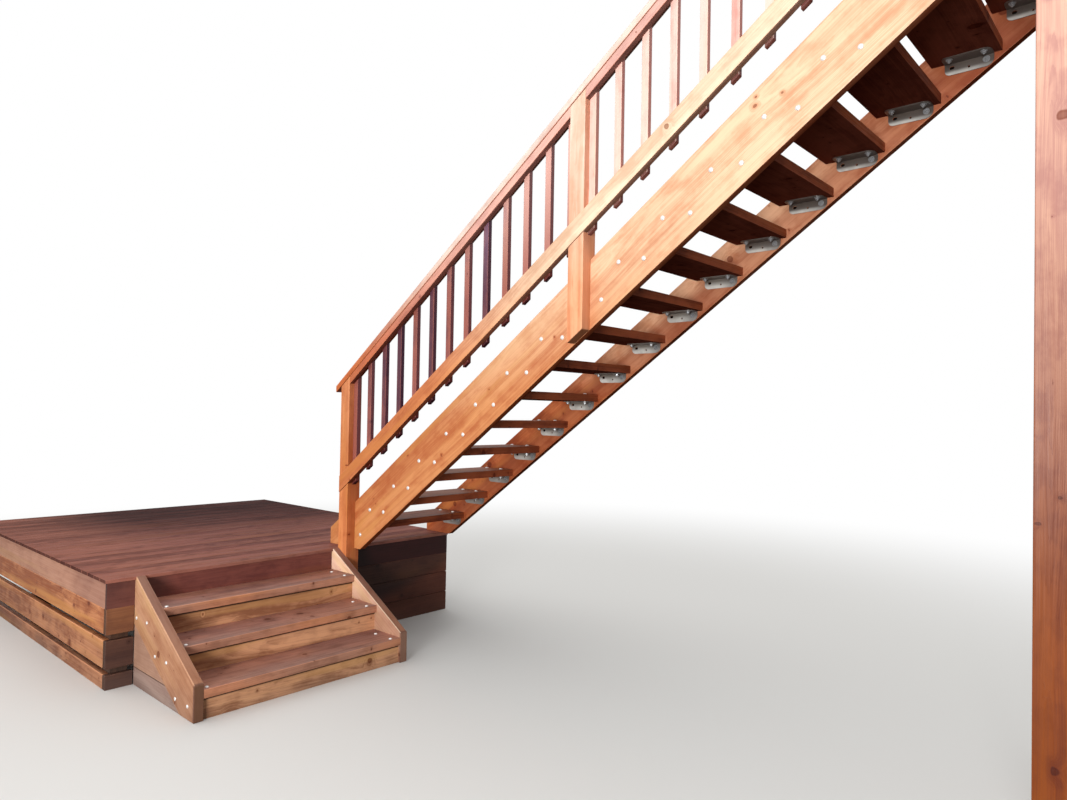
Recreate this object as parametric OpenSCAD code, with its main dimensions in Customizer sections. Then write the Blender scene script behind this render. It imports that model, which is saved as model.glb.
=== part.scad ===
// Timber deck stair. Box steps rise to a low deck, and a long open flight turns back from the
// deck and climbs to its head trimmer, between an outer stringer and a wall stringer.
// X runs across the flight towards the wall stringer, Y runs back over the deck, Z is up.
// The origin is the middle of the newel's foot, and all that stands is level with that foot.

/* [Flight] */
// Number of treads in the long flight
n_treads = 16; // [4:1:20]
// Height of each rise in the flight
rise = 175; // [165:1:185]
// Height of the first tread above the deck
first_rise = 181; // [165:1:190]
// Run from one nosing to the next
going = 246.5; // [240:0.5:270]
// Depth of a tread, front to back
tread_depth = 290; // [280:1:310]
// Thickness of a tread
tread_t = 45; // [38:1:52]
// Radius of the eased front edges of a tread
tread_ease = 4; // [1:0.5:8]
// Clear width between the stringers
flight_w = 824; // [700:1:1100]
// Distance of the first nosing behind the deck's front face
nosing_back = 54; // [20:1:100]

/* [Stringers] */
// Depth of the outer stringer, square to the slope
stringer_d = 290; // [270:1:300]
// Depth of the wall stringer, square to the slope
wall_stringer_d = 240; // [232:1:290]
// Thickness of a stringer
stringer_t = 45; // [38:1:52]
// Plumb height of the stringers' top edges over the nosings
stringer_over = 24; // [10:1:40]
// Length of the stringer's foot behind the first nosing
foot_run = 136; // [80:1:180]
// Gap between the top tread and the head trimmer
head_gap = 10; // [5:1:60]

/* [Tread brackets] */
// Length of a pressed steel tread bracket
bracket_l = 200; // [160:1:210]
// Distance of a wall bracket's middle behind the tread's middle
bracket_back = 13; // [0:1:20]
// Height of the bracket's leg on the stringer
bracket_leg = 56; // [45:1:65]
// Width of the bracket's leg under the tread
bracket_w = 80; // [60:1:90]
// Thickness of the bracket's plate
bracket_t = 5; // [3:0.5:6]
// Radius of the bracket's front corners
bracket_r = 24; // [8:1:26]
// Radius of the bracket's back corners
bracket_back_r = 34; // [20:1:38]
// Length of the slot near the front of each leg
bracket_slot = 22; // [18:1:26]
// Height of that slot
bracket_slot_h = 16; // [12:1:17]
// Distance of that slot's middle from the bracket's middle
bracket_slot_off = 70; // [50:1:72]
// Distance of that slot's middle below the tread
bracket_slot_down = 23; // [20:1:26]
// Radius of the small round hole in the leg on the stringer
bracket_pin = 5.5; // [3:0.5:6]

/* [Posts] */
// Side of the square posts
post_w = 96; // [88:1:110]
// Depth of the housing that takes the outer stringer
post_lap = 32; // [25:1:38]
// Distance of the mid post behind the newel, centre to centre
mid_post_run = 1967; // [1700:1:2200]

/* [Balustrade] */
// Plumb height from the nosings to the underside of the cap
guard_h = 871; // [840:1:950]
// Width of the cap board
cap_w = 104; // [96:1:140]
// Thickness of the cap board
cap_t = 35; // [30:1:45]
// Overhang of the cap past the end posts
cap_over = 60; // [20:1:80]
// Depth of the sub-rail under the cap
sub_d = 44; // [35:1:60]
// Thickness of the sub-rail
sub_t = 35; // [30:1:40]
// Depth of the bottom rail
rail_d = 90; // [80:1:100]
// Distance that the bottom rail stands proud of the posts
rail_proud = 4; // [1:0.5:8]
// Plumb gap between the stringer's top edge and the bottom rail
rail_up = 129; // [110:1:150]
// Width of a baluster, as seen from beside the flight
baluster_w = 40; // [30:1:45]
// Thickness of a baluster
baluster_t = 28; // [18:1:32]
// Length of a baluster's tail below the bottom rail
baluster_tail = 13; // [10:1:40]
// Balusters in the lower bay
n_lower = 13; // [8:1:14]
// Balusters in the upper bay
n_upper = 13; // [8:1:14]

/* [Landing head] */
// Depth of the head trimmer
trimmer_d = 240; // [190:1:290]
// Thickness of the head trimmer
trimmer_t = 45; // [38:1:60]

/* [Box steps] */
// Number of box steps below the deck
n_steps = 3; // [2:1:4]
// Height of each box step
step_rise = 151; // [140:1:165]
// Height from the last box step up to the deck
last_rise = 137; // [120:1:165]
// Run of each box step
step_going = 244; // [230:1:280]
// Overhang of a box step past its riser
step_nosing = 20; // [10:1:30]
// Thickness of a box step's tread
step_t = 44; // [35:1:50]
// Clear width between the cheeks
step_w = 1192; // [900:1:1230]
// Thickness of a riser board
riser_t = 25; // [19:1:35]
// Thickness of a cheek board
cheek_t = 48; // [38:1:52]
// Height of the cheeks at their front end
cheek_front_h = 180; // [165:1:210]
// Depth of a cheek board, square to its slope
cheek_d = 235; // [210:1:250]
// Height of the lower one of the two boards that fill in under a cheek
infill_h = 98; // [80:1:120]
// Joint between those two boards
infill_seam = 1; // [0.5:0.5:3]
// Distance of their faces behind the cheek's faces
infill_back = 2; // [1:0.5:4]

/* [Deck] */
// Length of the deck's front beyond the left cheek
return_w = 142; // [100:1:300]
// Depth of the deck frame, front to back
deck_d = 2798; // [2000:1:3200]
// Width of a deck board
board_w = 90; // [80:1:140]
// Gap between deck boards
board_gap = 4; // [3:0.5:6]
// Thickness of a deck board
board_t = 19; // [19:1:25]
// Overhang of the deck boards past the fascia
board_over = 11; // [5:1:15]
// Clearance round a post that passes through the boards
post_gap = 1; // [0.5:0.5:3]
// Depth of the fascia boards
fascia_d = 140; // [130:1:150]
// Thickness of the fascia boards
fascia_t = 19; // [19:1:25]
// Depth of the top row of skirting boards
skirt_top_d = 138; // [120:1:155]
// Depth of the skirting boards below it
skirt_d = 149; // [130:1:155]
// Thickness of the skirting boards
skirt_t = 35; // [25:1:40]
// Gap between skirting boards on the open sides
skirt_gap = 33; // [15:1:40]
// Gap between skirting boards under the flight
seam = 3; // [1:0.5:5]

/* [Deck frame] */
// Depth of a joist
joist_d = 140; // [130:1:150]
// Thickness of a joist
joist_t = 45; // [38:1:50]
// Number of joists
n_joists = 7; // [6:1:9]
// Depth of a bearer
bearer_d = 140; // [130:1:150]
// Thickness of a bearer
bearer_t = 45; // [38:1:50]
// Side of the square stumps
stump_w = 90; // [80:1:100]
// Stumps under each bearer
n_stumps = 4; // [3:1:5]
// Number of bearers
n_bearers = 3; // [2:1:4]

/* [Hidden] */
function pad(i) = str(i < 10 ? "0" : "", i);

stain = "chocolate";
pale_stain = "sandybrown";
dark_stain = "saddlebrown";
red_wood = "brown";
zinc = "lightgray";

// Height of the deck above the newel's foot
deck_h = n_steps * step_rise + last_rise;
slope = rise / going;
rake_cos = going / sqrt(rise * rise + going * going);

// X places across the flight
post_x = -post_w / 2;
stringer_x = post_w / 2 - post_lap;
tread_x = stringer_x + stringer_t;
wall_stringer_x = tread_x + flight_w;
wall_x = wall_stringer_x + stringer_t;
baluster_x = post_x + sub_t;

// Y places along the flight, and the rake lines as heights at a given Y
deck_face = post_w / 2;
first_front = deck_face + nosing_back;
foot_y = first_front + foot_run;
head_y = tread_front(n_treads) - tread_depth - head_gap;
level_y = first_front - n_treads * going + stringer_over / slope;
landing_z = deck_h + first_rise + n_treads * rise;
mid_y = -mid_post_run;
top_y = head_y - post_w / 2;
function tread_front(i) = first_front - (i - 1) * going;
function tread_top(i) = deck_h + first_rise + (i - 1) * rise;
function nosing_z(y) = deck_h + first_rise + slope * (first_front - y);
function top_edge(y) = nosing_z(y) + stringer_over;
function bottom_edge(y, depth = stringer_d) = top_edge(y) - depth / rake_cos;
function toe_y(depth) = first_front - (depth / rake_cos - stringer_over - first_rise) / slope;

// Box step places
right_cheek_x = post_x - cheek_t;
step_x = right_cheek_x - step_w;
left_cheek_x = step_x - cheek_t;
step_depth = step_going + step_nosing;
function step_front(k) = deck_face - (n_steps - k) * step_going - step_depth;

// Lower edge of a cheek, which falls from the deck boards' front edge to the foot of the steps
cheek_y = deck_face - board_over;
cheek_slope = (deck_h - cheek_front_h) / (cheek_y - step_front(1));
cheek_plumb = cheek_d * sqrt(1 + cheek_slope * cheek_slope);
function cheek_low_y(z) = cheek_y - (deck_h - cheek_plumb - z) / cheek_slope;
cheek_low_z = deck_h - cheek_plumb + board_over * cheek_slope;

// Deck places
board_z = deck_h - board_t;
frame_x = left_cheek_x - return_w;
board_x = frame_x - board_over;
back_y = deck_face + deck_d;
skirt_z = board_z - fascia_d;
bearer_z = board_z - joist_d - bearer_d;
bearer_x = frame_x + skirt_t;
joist_x = frame_x + fascia_t;
front_row_y = deck_face + skirt_t;

// A solid with the outline pts in the Y-Z plane, from x to x + w
module slice(x, w, pts) {
    translate([x, 0, 0]) rotate([90, 0, 90]) linear_extrude(w) polygon(pts);
}

// A rail on the rake with plumb ends, its lower edge a plumb height above the nosings
module raked(x, w, y0, y1, lift, depth) {
    plumb = depth / rake_cos;
    slice(x, w, [
        [y0, nosing_z(y0) + lift],
        [y1, nosing_z(y1) + lift],
        [y1, nosing_z(y1) + lift + plumb],
        [y0, nosing_z(y0) + lift + plumb]
    ]);
}

// A tread board with eased front edges, front at y and top at z
module tread_board(x, w, y, z, depth, t) {
    translate([x, y, z]) rotate([90, 0, 90]) linear_extrude(w) union() {
        translate([tread_ease, -t]) square([depth - tread_ease, t]);
        translate([0, tread_ease - t]) square([tread_ease + 1, t - 2 * tread_ease]);
        for (v = [tread_ease - t, -tread_ease]) translate([tread_ease, v]) circle(tread_ease, $fn = 24);
    }
}

module stringer(x, w = stringer_t, depth = stringer_d) {
    slice(x, w, [
        [foot_y, deck_h],
        [foot_y, top_edge(foot_y)],
        [level_y, landing_z],
        [head_y, landing_z],
        [head_y, bottom_edge(head_y, depth)],
        [toe_y(depth), deck_h]
    ]);
}

module outer_stringer() {
    color(pale_stain) stringer(stringer_x);
}

module wall_stringer() {
    color(stain) stringer(wall_stringer_x, stringer_t, wall_stringer_d);
}

module tread(i) {
    color(dark_stain) translate([0, tread_front(i), 0]) mirror([0, 1, 0])
        tread_board(tread_x, flight_w, 0, tread_top(i), tread_depth, tread_t);
}

// Outline of one leg of a bracket, its bend along the top and its front to the right
module bracket_outline(w) {
    translate([-bracket_l / 2, bracket_back_r - w]) square([bracket_l / 2, w - bracket_back_r]);
    translate([0, bracket_r - w]) square([bracket_l / 2, w - bracket_r]);
    translate([bracket_back_r - bracket_l / 2, -w]) square([bracket_l - bracket_back_r - bracket_r, w]);
    translate([bracket_back_r - bracket_l / 2, bracket_back_r - w]) circle(bracket_back_r, $fn = 40);
    translate([bracket_l / 2 - bracket_r, bracket_r - w]) circle(bracket_r, $fn = 32);
}

// The slot in one leg of a bracket
module bracket_slot() {
    flat = bracket_slot - bracket_slot_h;
    square([flat, bracket_slot_h], center = true);
    for (s = [-1, 1]) translate([s * flat / 2, 0]) circle(bracket_slot_h / 2, $fn = 24);
}

// One bracket for the outer stringer: a leg down the stringer and a leg under the tread
module bracket(i, back) {
    mid = tread_front(i) - tread_depth / 2 - back;
    under = tread_top(i) - tread_t;
    translate([tread_x, mid, under]) rotate([90, 0, 90]) linear_extrude(bracket_t) difference() {
        bracket_outline(bracket_leg);
        translate([bracket_slot_off, -bracket_slot_down]) bracket_slot();
        translate([0, -bracket_leg / 2 - 8]) circle(bracket_pin, $fn = 20);
    }
    translate([tread_x, mid, under]) rotate([0, 0, 90]) translate([0, 0, -bracket_t])
        linear_extrude(bracket_t) difference() {
            bracket_outline(bracket_w);
            translate([bracket_slot_off, bracket_slot_down - bracket_w]) bracket_slot();
        }
}

module brackets_outer() {
    color(zinc) for (i = [1:n_treads]) bracket(i, 0);
}

module brackets_wall() {
    color(zinc) translate([tread_x + wall_stringer_x, 0, 0]) mirror([1, 0, 0])
        for (i = [1:n_treads]) bracket(i, bracket_back);
}

// A post from the height line z0 up to the cap, housed for the stringer and the bottom rail
module rail_post(y, z0, z1) {
    a = y - post_w / 2;
    b = y + post_w / 2;
    difference() {
        slice(post_x, post_w, [
            [b, z1],
            [b, nosing_z(b) + guard_h],
            [a, nosing_z(a) + guard_h],
            [a, z0]
        ]);
        stringer(stringer_x, post_lap + 1);
        raked(post_x - 1, sub_t + 1, b + 1, a - 1, stringer_over + rail_up, rail_d);
    }
}

module newel_post() {
    color(stain) rail_post(0, 0, 0);
}

module mid_post() {
    color(pale_stain) rail_post(mid_y, bottom_edge(mid_y - post_w / 2), bottom_edge(mid_y + post_w / 2));
}

module top_post() {
    color(stain) rail_post(top_y, 0, 0);
}

module wall_post() {
    color(stain) translate([wall_x - post_w, head_y - post_w, 0]) cube([post_w, post_w, landing_z]);
}

module head_trimmer() {
    color(stain) translate([-post_x, head_y - trimmer_t, landing_z - trimmer_d])
        cube([wall_x - 2 * post_w - post_x, trimmer_t, trimmer_d]);
}

module handrail_cap() {
    color(stain) raked(-cap_w / 2, cap_w, deck_face + cap_over, head_y - post_w - cap_over, guard_h, cap_t);
}

module sub_rail(y0, y1) {
    raked(post_x, sub_t, y0, y1, guard_h - sub_d / rake_cos, sub_d);
}

module sub_rails() {
    color(stain) sub_rail(-post_w / 2, mid_y + post_w / 2);
    color(stain) sub_rail(mid_y - post_w / 2, head_y);
}

module bottom_rail() {
    color(pale_stain) raked(post_x - rail_proud, sub_t + rail_proud, deck_face, head_y - post_w,
        stringer_over + rail_up, rail_d);
}

// Balusters at equal steps from y0 up to y1, the end ones tight against the posts
module balusters(y0, y1, n) {
    step = (y0 - y1 - baluster_w) / (n - 1);
    drop = stringer_over + rail_up - baluster_tail;
    for (j = [0:n - 1]) {
        b = y0 - j * step;
        a = b - baluster_w;
        slice(baluster_x, baluster_t, [
            [b, nosing_z(b) + drop],
            [b, nosing_z(b) + guard_h],
            [a, nosing_z(a) + guard_h],
            [a, nosing_z(a) + drop]
        ]);
    }
}

module balusters_lower() {
    color(red_wood) balusters(-post_w / 2, mid_y + post_w / 2, n_lower);
}

module balusters_upper() {
    color(red_wood) balusters(mid_y - post_w / 2, head_y, n_upper);
}

// A sloping side board, cut plumb at both ends and level along its foot
module cheek(x) {
    slice(x, cheek_t, [
        [deck_face, cheek_low_z],
        [deck_face, board_z],
        [cheek_y, board_z],
        [cheek_y, deck_h],
        [step_front(1), cheek_front_h],
        [step_front(1), 0],
        [cheek_low_y(0), 0]
    ]);
}

module left_cheek() {
    color(pale_stain) cheek(left_cheek_x);
}

module right_cheek() {
    color(pale_stain) cheek(right_cheek_x);
}

// Level boards that close the triangle under each cheek
module cheek_infill() {
    joint = infill_h + infill_seam;
    color(stain) for (x = [left_cheek_x, right_cheek_x]) {
        slice(x + infill_back, cheek_t - 2 * infill_back, [
            [deck_face, 0],
            [deck_face, infill_h],
            [cheek_low_y(infill_h), infill_h],
            [cheek_low_y(0), 0]
        ]);
        slice(x + infill_back, cheek_t - 2 * infill_back, [
            [deck_face, joint],
            [deck_face, cheek_low_z],
            [cheek_low_y(joint), joint]
        ]);
    }
}

module step_tread(k) {
    color(stain) tread_board(step_x, step_w, step_front(k), k * step_rise, step_depth, step_t);
}

module step_risers() {
    color(stain) for (k = [1:n_steps]) {
        foot = max(0, (k - 1) * step_rise - step_t);
        translate([step_x, step_front(k) + step_nosing, foot])
            cube([step_w, riser_t, k * step_rise - step_t - foot]);
    }
}

// Boards from the overhanging front edge to the back of the frame, the last one ripped to fit
module deck_boards() {
    front = deck_face - board_over;
    pitch = board_w + board_gap;
    last = ceil((back_y - front) / pitch) - 1;
    color(red_wood) difference() {
        for (j = [0:last]) {
            y = front + j * pitch;
            translate([board_x, y, board_z])
                cube([wall_x - board_x, min(board_w, back_y - y), board_t]);
        }
        translate([post_x - post_gap, front - 1, board_z - 1])
            cube([post_w + 2 * post_gap, deck_face - front + 1 + post_gap, board_t + 2]);
    }
}

module front_fascia() {
    color(red_wood) translate([frame_x, deck_face, skirt_z])
        cube([wall_x - frame_x, fascia_t, fascia_d]);
}

module side_fascia() {
    color(red_wood) translate([frame_x, deck_face + fascia_t, skirt_z])
        cube([fascia_t, deck_d - fascia_t, fascia_d]);
}

// Skirting boards below the fascia, one under the other down to the level of the feet
module skirting(x, y, w, d, gap) {
    second = skirt_z - skirt_top_d - gap;
    n = ceil(second / (skirt_d + gap));
    translate([x, y, skirt_z - skirt_top_d]) cube([w, d, skirt_top_d]);
    for (j = [0:n - 1]) {
        top = second - j * (skirt_d + gap);
        foot = max(0, top - skirt_d);
        translate([x, y, foot]) cube([w, d, top - foot]);
    }
}

module front_skirting() {
    color(stain) skirting(frame_x, deck_face, left_cheek_x - frame_x, skirt_t, skirt_gap);
    color(dark_stain) skirting(post_x, deck_face, wall_x - post_x, skirt_t, seam);
}

module side_skirting() {
    color(stain) skirting(frame_x, front_row_y, skirt_t, deck_d - skirt_t, skirt_gap);
}

module deck_joists() {
    step = (wall_x - joist_t - joist_x) / (n_joists - 1);
    color(stain) for (j = [0:n_joists - 1])
        translate([joist_x + j * step, deck_face + fascia_t, board_z - joist_d])
            cube([joist_t, deck_d - fascia_t, joist_d]);
}

// Front faces of the bearers and of the stumps, spread evenly from the front row to the back
function row_y(j, t) = front_row_y + j * (back_y - t - front_row_y) / (n_bearers - 1);

module deck_bearers() {
    color(stain) for (j = [0:n_bearers - 1])
        translate([bearer_x, row_y(j, bearer_t), bearer_z]) cube([wall_x - bearer_x, bearer_t, bearer_d]);
}

module deck_stumps() {
    step = (wall_x - stump_w - bearer_x) / (n_stumps - 1);
    color(dark_stain) for (j = [0:n_bearers - 1], i = [0:n_stumps - 1])
        translate([bearer_x + i * step, row_y(j, stump_w), 0]) cube([stump_w, stump_w, bearer_z]);
}

outer_stringer();
wall_stringer();
for (i = [1:n_treads]) tread(i);
brackets_outer();
brackets_wall();
newel_post();
mid_post();
top_post();
wall_post();
head_trimmer();
handrail_cap();
sub_rails();
bottom_rail();
balusters_lower();
balusters_upper();
left_cheek();
right_cheek();
cheek_infill();
step_risers();
for (k = [1:n_steps]) step_tread(k);
deck_boards();
front_fascia();
side_fascia();
front_skirting();
side_skirting();
deck_joists();
deck_bearers();
deck_stumps();
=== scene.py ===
import math
from collections import namedtuple

import bpy
from mathutils import Matrix, Vector


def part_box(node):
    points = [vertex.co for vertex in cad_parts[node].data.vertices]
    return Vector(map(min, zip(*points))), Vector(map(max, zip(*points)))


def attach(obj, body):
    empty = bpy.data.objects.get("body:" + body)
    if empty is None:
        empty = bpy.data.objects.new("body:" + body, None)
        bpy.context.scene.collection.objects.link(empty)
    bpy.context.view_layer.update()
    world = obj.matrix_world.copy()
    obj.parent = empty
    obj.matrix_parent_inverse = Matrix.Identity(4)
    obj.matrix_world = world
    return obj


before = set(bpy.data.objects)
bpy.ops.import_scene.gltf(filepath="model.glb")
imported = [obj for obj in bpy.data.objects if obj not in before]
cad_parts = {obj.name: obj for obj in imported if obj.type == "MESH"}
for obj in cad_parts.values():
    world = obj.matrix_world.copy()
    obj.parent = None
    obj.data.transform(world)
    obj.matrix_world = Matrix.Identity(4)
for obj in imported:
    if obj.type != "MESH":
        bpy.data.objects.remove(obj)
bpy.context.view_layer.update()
bpy.ops.object.select_all(action="DESELECT")

# Camera: at eye height in front of the deck's left corner, looking across the box steps to the
# long flight. The lens and the turn of the camera come from the stair's own straight lines.
eye = Vector((-2.9601, -4.3129, 1.5201))
heading = 0.83992
rise_of_view = 0.017439
tilt = 0.017585
view = bpy.data.cameras.new("view")
view.sensor_fit = "HORIZONTAL"
view.sensor_width = 36
view.lens = 25.2792
camera = bpy.data.objects.new("camera", view)
camera.matrix_world = (
    Matrix.Translation(eye)
    @ Matrix.Rotation(-heading, 4, "Z")
    @ Matrix.Rotation(math.pi / 2 + rise_of_view, 4, "X")
    @ Matrix.Rotation(tilt, 4, "Z")
)
bpy.context.scene.collection.objects.link(camera)
bpy.context.scene.camera = camera
bpy.context.scene.view_settings.view_transform = "Standard"


# Floor and light: a pale studio floor that keeps the shadow and fades to white further out, under
# a sky that is brighter overhead. Two large lamps light the open left side, and a smaller one low
# down throws light up under the flight.
def add_node(tree, kind, plugs, out=0, **settings):
    """Adds a shader node, links or sets its inputs, and returns one of its outputs."""
    made = tree.nodes.new("ShaderNode" + kind)
    for key, value in settings.items():
        setattr(made, key, value)
    for key, value in plugs.items():
        if isinstance(value, bpy.types.NodeSocket):
            tree.links.new(value, made.inputs[key])
        else:
            made.inputs[key].default_value = value
    return made.outputs[out]


def calc(tree, operation, a, b=0.0):
    """One step of arithmetic."""
    return add_node(tree, "Math", {0: a, 1: b}, operation=operation)


def split(tree, vector):
    """The X, Y and Z of a vector."""
    made = tree.nodes.new("ShaderNodeSeparateXYZ")
    tree.links.new(vector, made.inputs[0])
    return made.outputs


def fade(tree, value, start, end, low=0.0, high=1.0):
    """A smooth change from low to high as the value goes from start to end."""
    plugs = {0: value, 1: start, 2: end, 3: low, 4: high}
    return add_node(tree, "MapRange", plugs, interpolation_type="SMOOTHSTEP")


def paint(tree, factor, under, over):
    """One colour over another, by a factor from 0 to 1."""
    plugs = {0: factor, 6: under, 7: over}
    return add_node(tree, "Mix", plugs, out=2, data_type="RGBA")


def tint(red, green, blue):
    """A colour from its 0-255 values on a paint chart, as the linear numbers that shaders use."""
    parts = []
    for level in (red, green, blue):
        level /= 255
        parts.append(level / 12.92 if level <= 0.04045 else ((level + 0.055) / 1.055) ** 2.4)
    return (*parts, 1.0)


floor_middle = (-0.3, -0.6, 0)
floor_reach = 16.0
keeps_shadow, all_white = 3.4, 9.0
bpy.ops.mesh.primitive_circle_add(
    vertices=96, radius=floor_reach, fill_type="NGON", location=floor_middle)
floor = bpy.context.object
floor.name = "studio_floor"
bpy.ops.object.transform_apply(location=True)
floor_finish = bpy.data.materials.new("studio_floor")
floor_finish.use_nodes = True
tree = floor_finish.node_tree
spot = add_node(tree, "TexCoord", {}, out=3)
away = add_node(tree, "VectorMath", {0: spot, 1: floor_middle}, out=1, operation="DISTANCE")
paths = tree.nodes.new("ShaderNodeLightPath").outputs
lit = tree.nodes["Principled BSDF"]
shown = paint(tree, paths["Is Glossy Ray"], tint(118, 116, 112), tint(160, 158, 154))
shown = paint(tree, paths["Is Camera Ray"], shown, tint(226, 225, 222))
tree.links.new(shown, lit.inputs["Base Color"])
lit.inputs["Roughness"].default_value = 0.9
lit.inputs["Specular IOR Level"].default_value = 0.1
glow = add_node(tree, "Emission", {"Color": (1, 1, 1, 1), "Strength": 1.0})
melt = calc(tree, "MULTIPLY", fade(tree, away, keeps_shadow, all_white), paths["Is Camera Ray"])
mixed = add_node(tree, "MixShader", {0: melt, 1: lit.outputs[0], 2: glow})
tree.links.new(mixed, tree.nodes["Material Output"].inputs["Surface"])
floor.data.materials.append(floor_finish)

world = bpy.data.worlds.new("studio")
world.use_nodes = True
bpy.context.scene.world = world
tree = world.node_tree
paths = tree.nodes.new("ShaderNodeLightPath").outputs
towards = add_node(tree, "TexCoord", {}, out=0)
brightest = (-0.1, 0.3, 1.0)
open_sky = add_node(tree, "VectorMath", {0: towards, 1: brightest}, out=1, operation="DOT_PRODUCT")
dome = fade(tree, open_sky, -0.2, 0.95, 0.2, 1.05)
clear = calc(tree, "MAXIMUM", paths["Is Camera Ray"], paths["Is Transmission Ray"])
overhead = fade(tree, split(tree, towards)[2], 0.0, 0.5, 0.2, 0.8)
shine = calc(tree, "MAXIMUM", dome, calc(tree, "MULTIPLY", paths["Is Glossy Ray"], overhead))
strength = add_node(tree, "Mix", {0: clear, 2: shine, 3: 1.0}, data_type="FLOAT")
sky = tree.nodes["Background"]
sky.inputs["Color"].default_value = (1, 1, 1, 1)
tree.links.new(strength, sky.inputs["Strength"])


def soft_lamp(name, place, aim, size, power):
    """A square lamp that faces its aim."""
    lamp = bpy.data.lights.new(name, "AREA")
    lamp.shape = "SQUARE"
    lamp.size = size
    lamp.energy = power
    holder = bpy.data.objects.new(name, lamp)
    holder.location = place
    holder.rotation_euler = (Vector(aim) - Vector(place)).to_track_quat("-Z", "Y").to_euler()
    bpy.context.scene.collection.objects.link(holder)


soft_lamp("open_side", place=(-15.0, -2.0, 5.0), aim=(0.0, -1.2, 1.6), size=8.0, power=150)
soft_lamp("front", place=(-12.0, -6.4, 1.7), aim=(0.0, -1.8, 1.9), size=4.0, power=220)
soft_lamp("under_flight", place=(-7.5, -5.0, 1.3), aim=(0.9, -2.8, 2.8), size=2.4, power=560)


# Stringers: two sawn pine planks on the rake, brushed with an orange-brown penetrating stain.
# The outer one is deeper and stands in the posts' housings. It is painted paler towards its upper
# end, partly as sun-bleaching and partly as painted light of the bright sky, and both stringers
# carry painted shade on their undersides.
def corners(node):
    """The lowest and the highest corner of a piece of the frame, and its middle."""
    low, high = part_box(node)
    return low, high, (low + high) / 2


# A tint laid over a stain, for real weathering or as painted light and shade: its colour, what it
# goes by, the two values between which it fades in, its strength and how patchy it is, 0 to 1. It
# goes by the place along a direction, by "up" or "front", how far a face looks up or to the front,
# or by "board", the place across its own board.
Wash = namedtuple("Wash", "colour by start full amount patchy", defaults=(0.0,))


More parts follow.
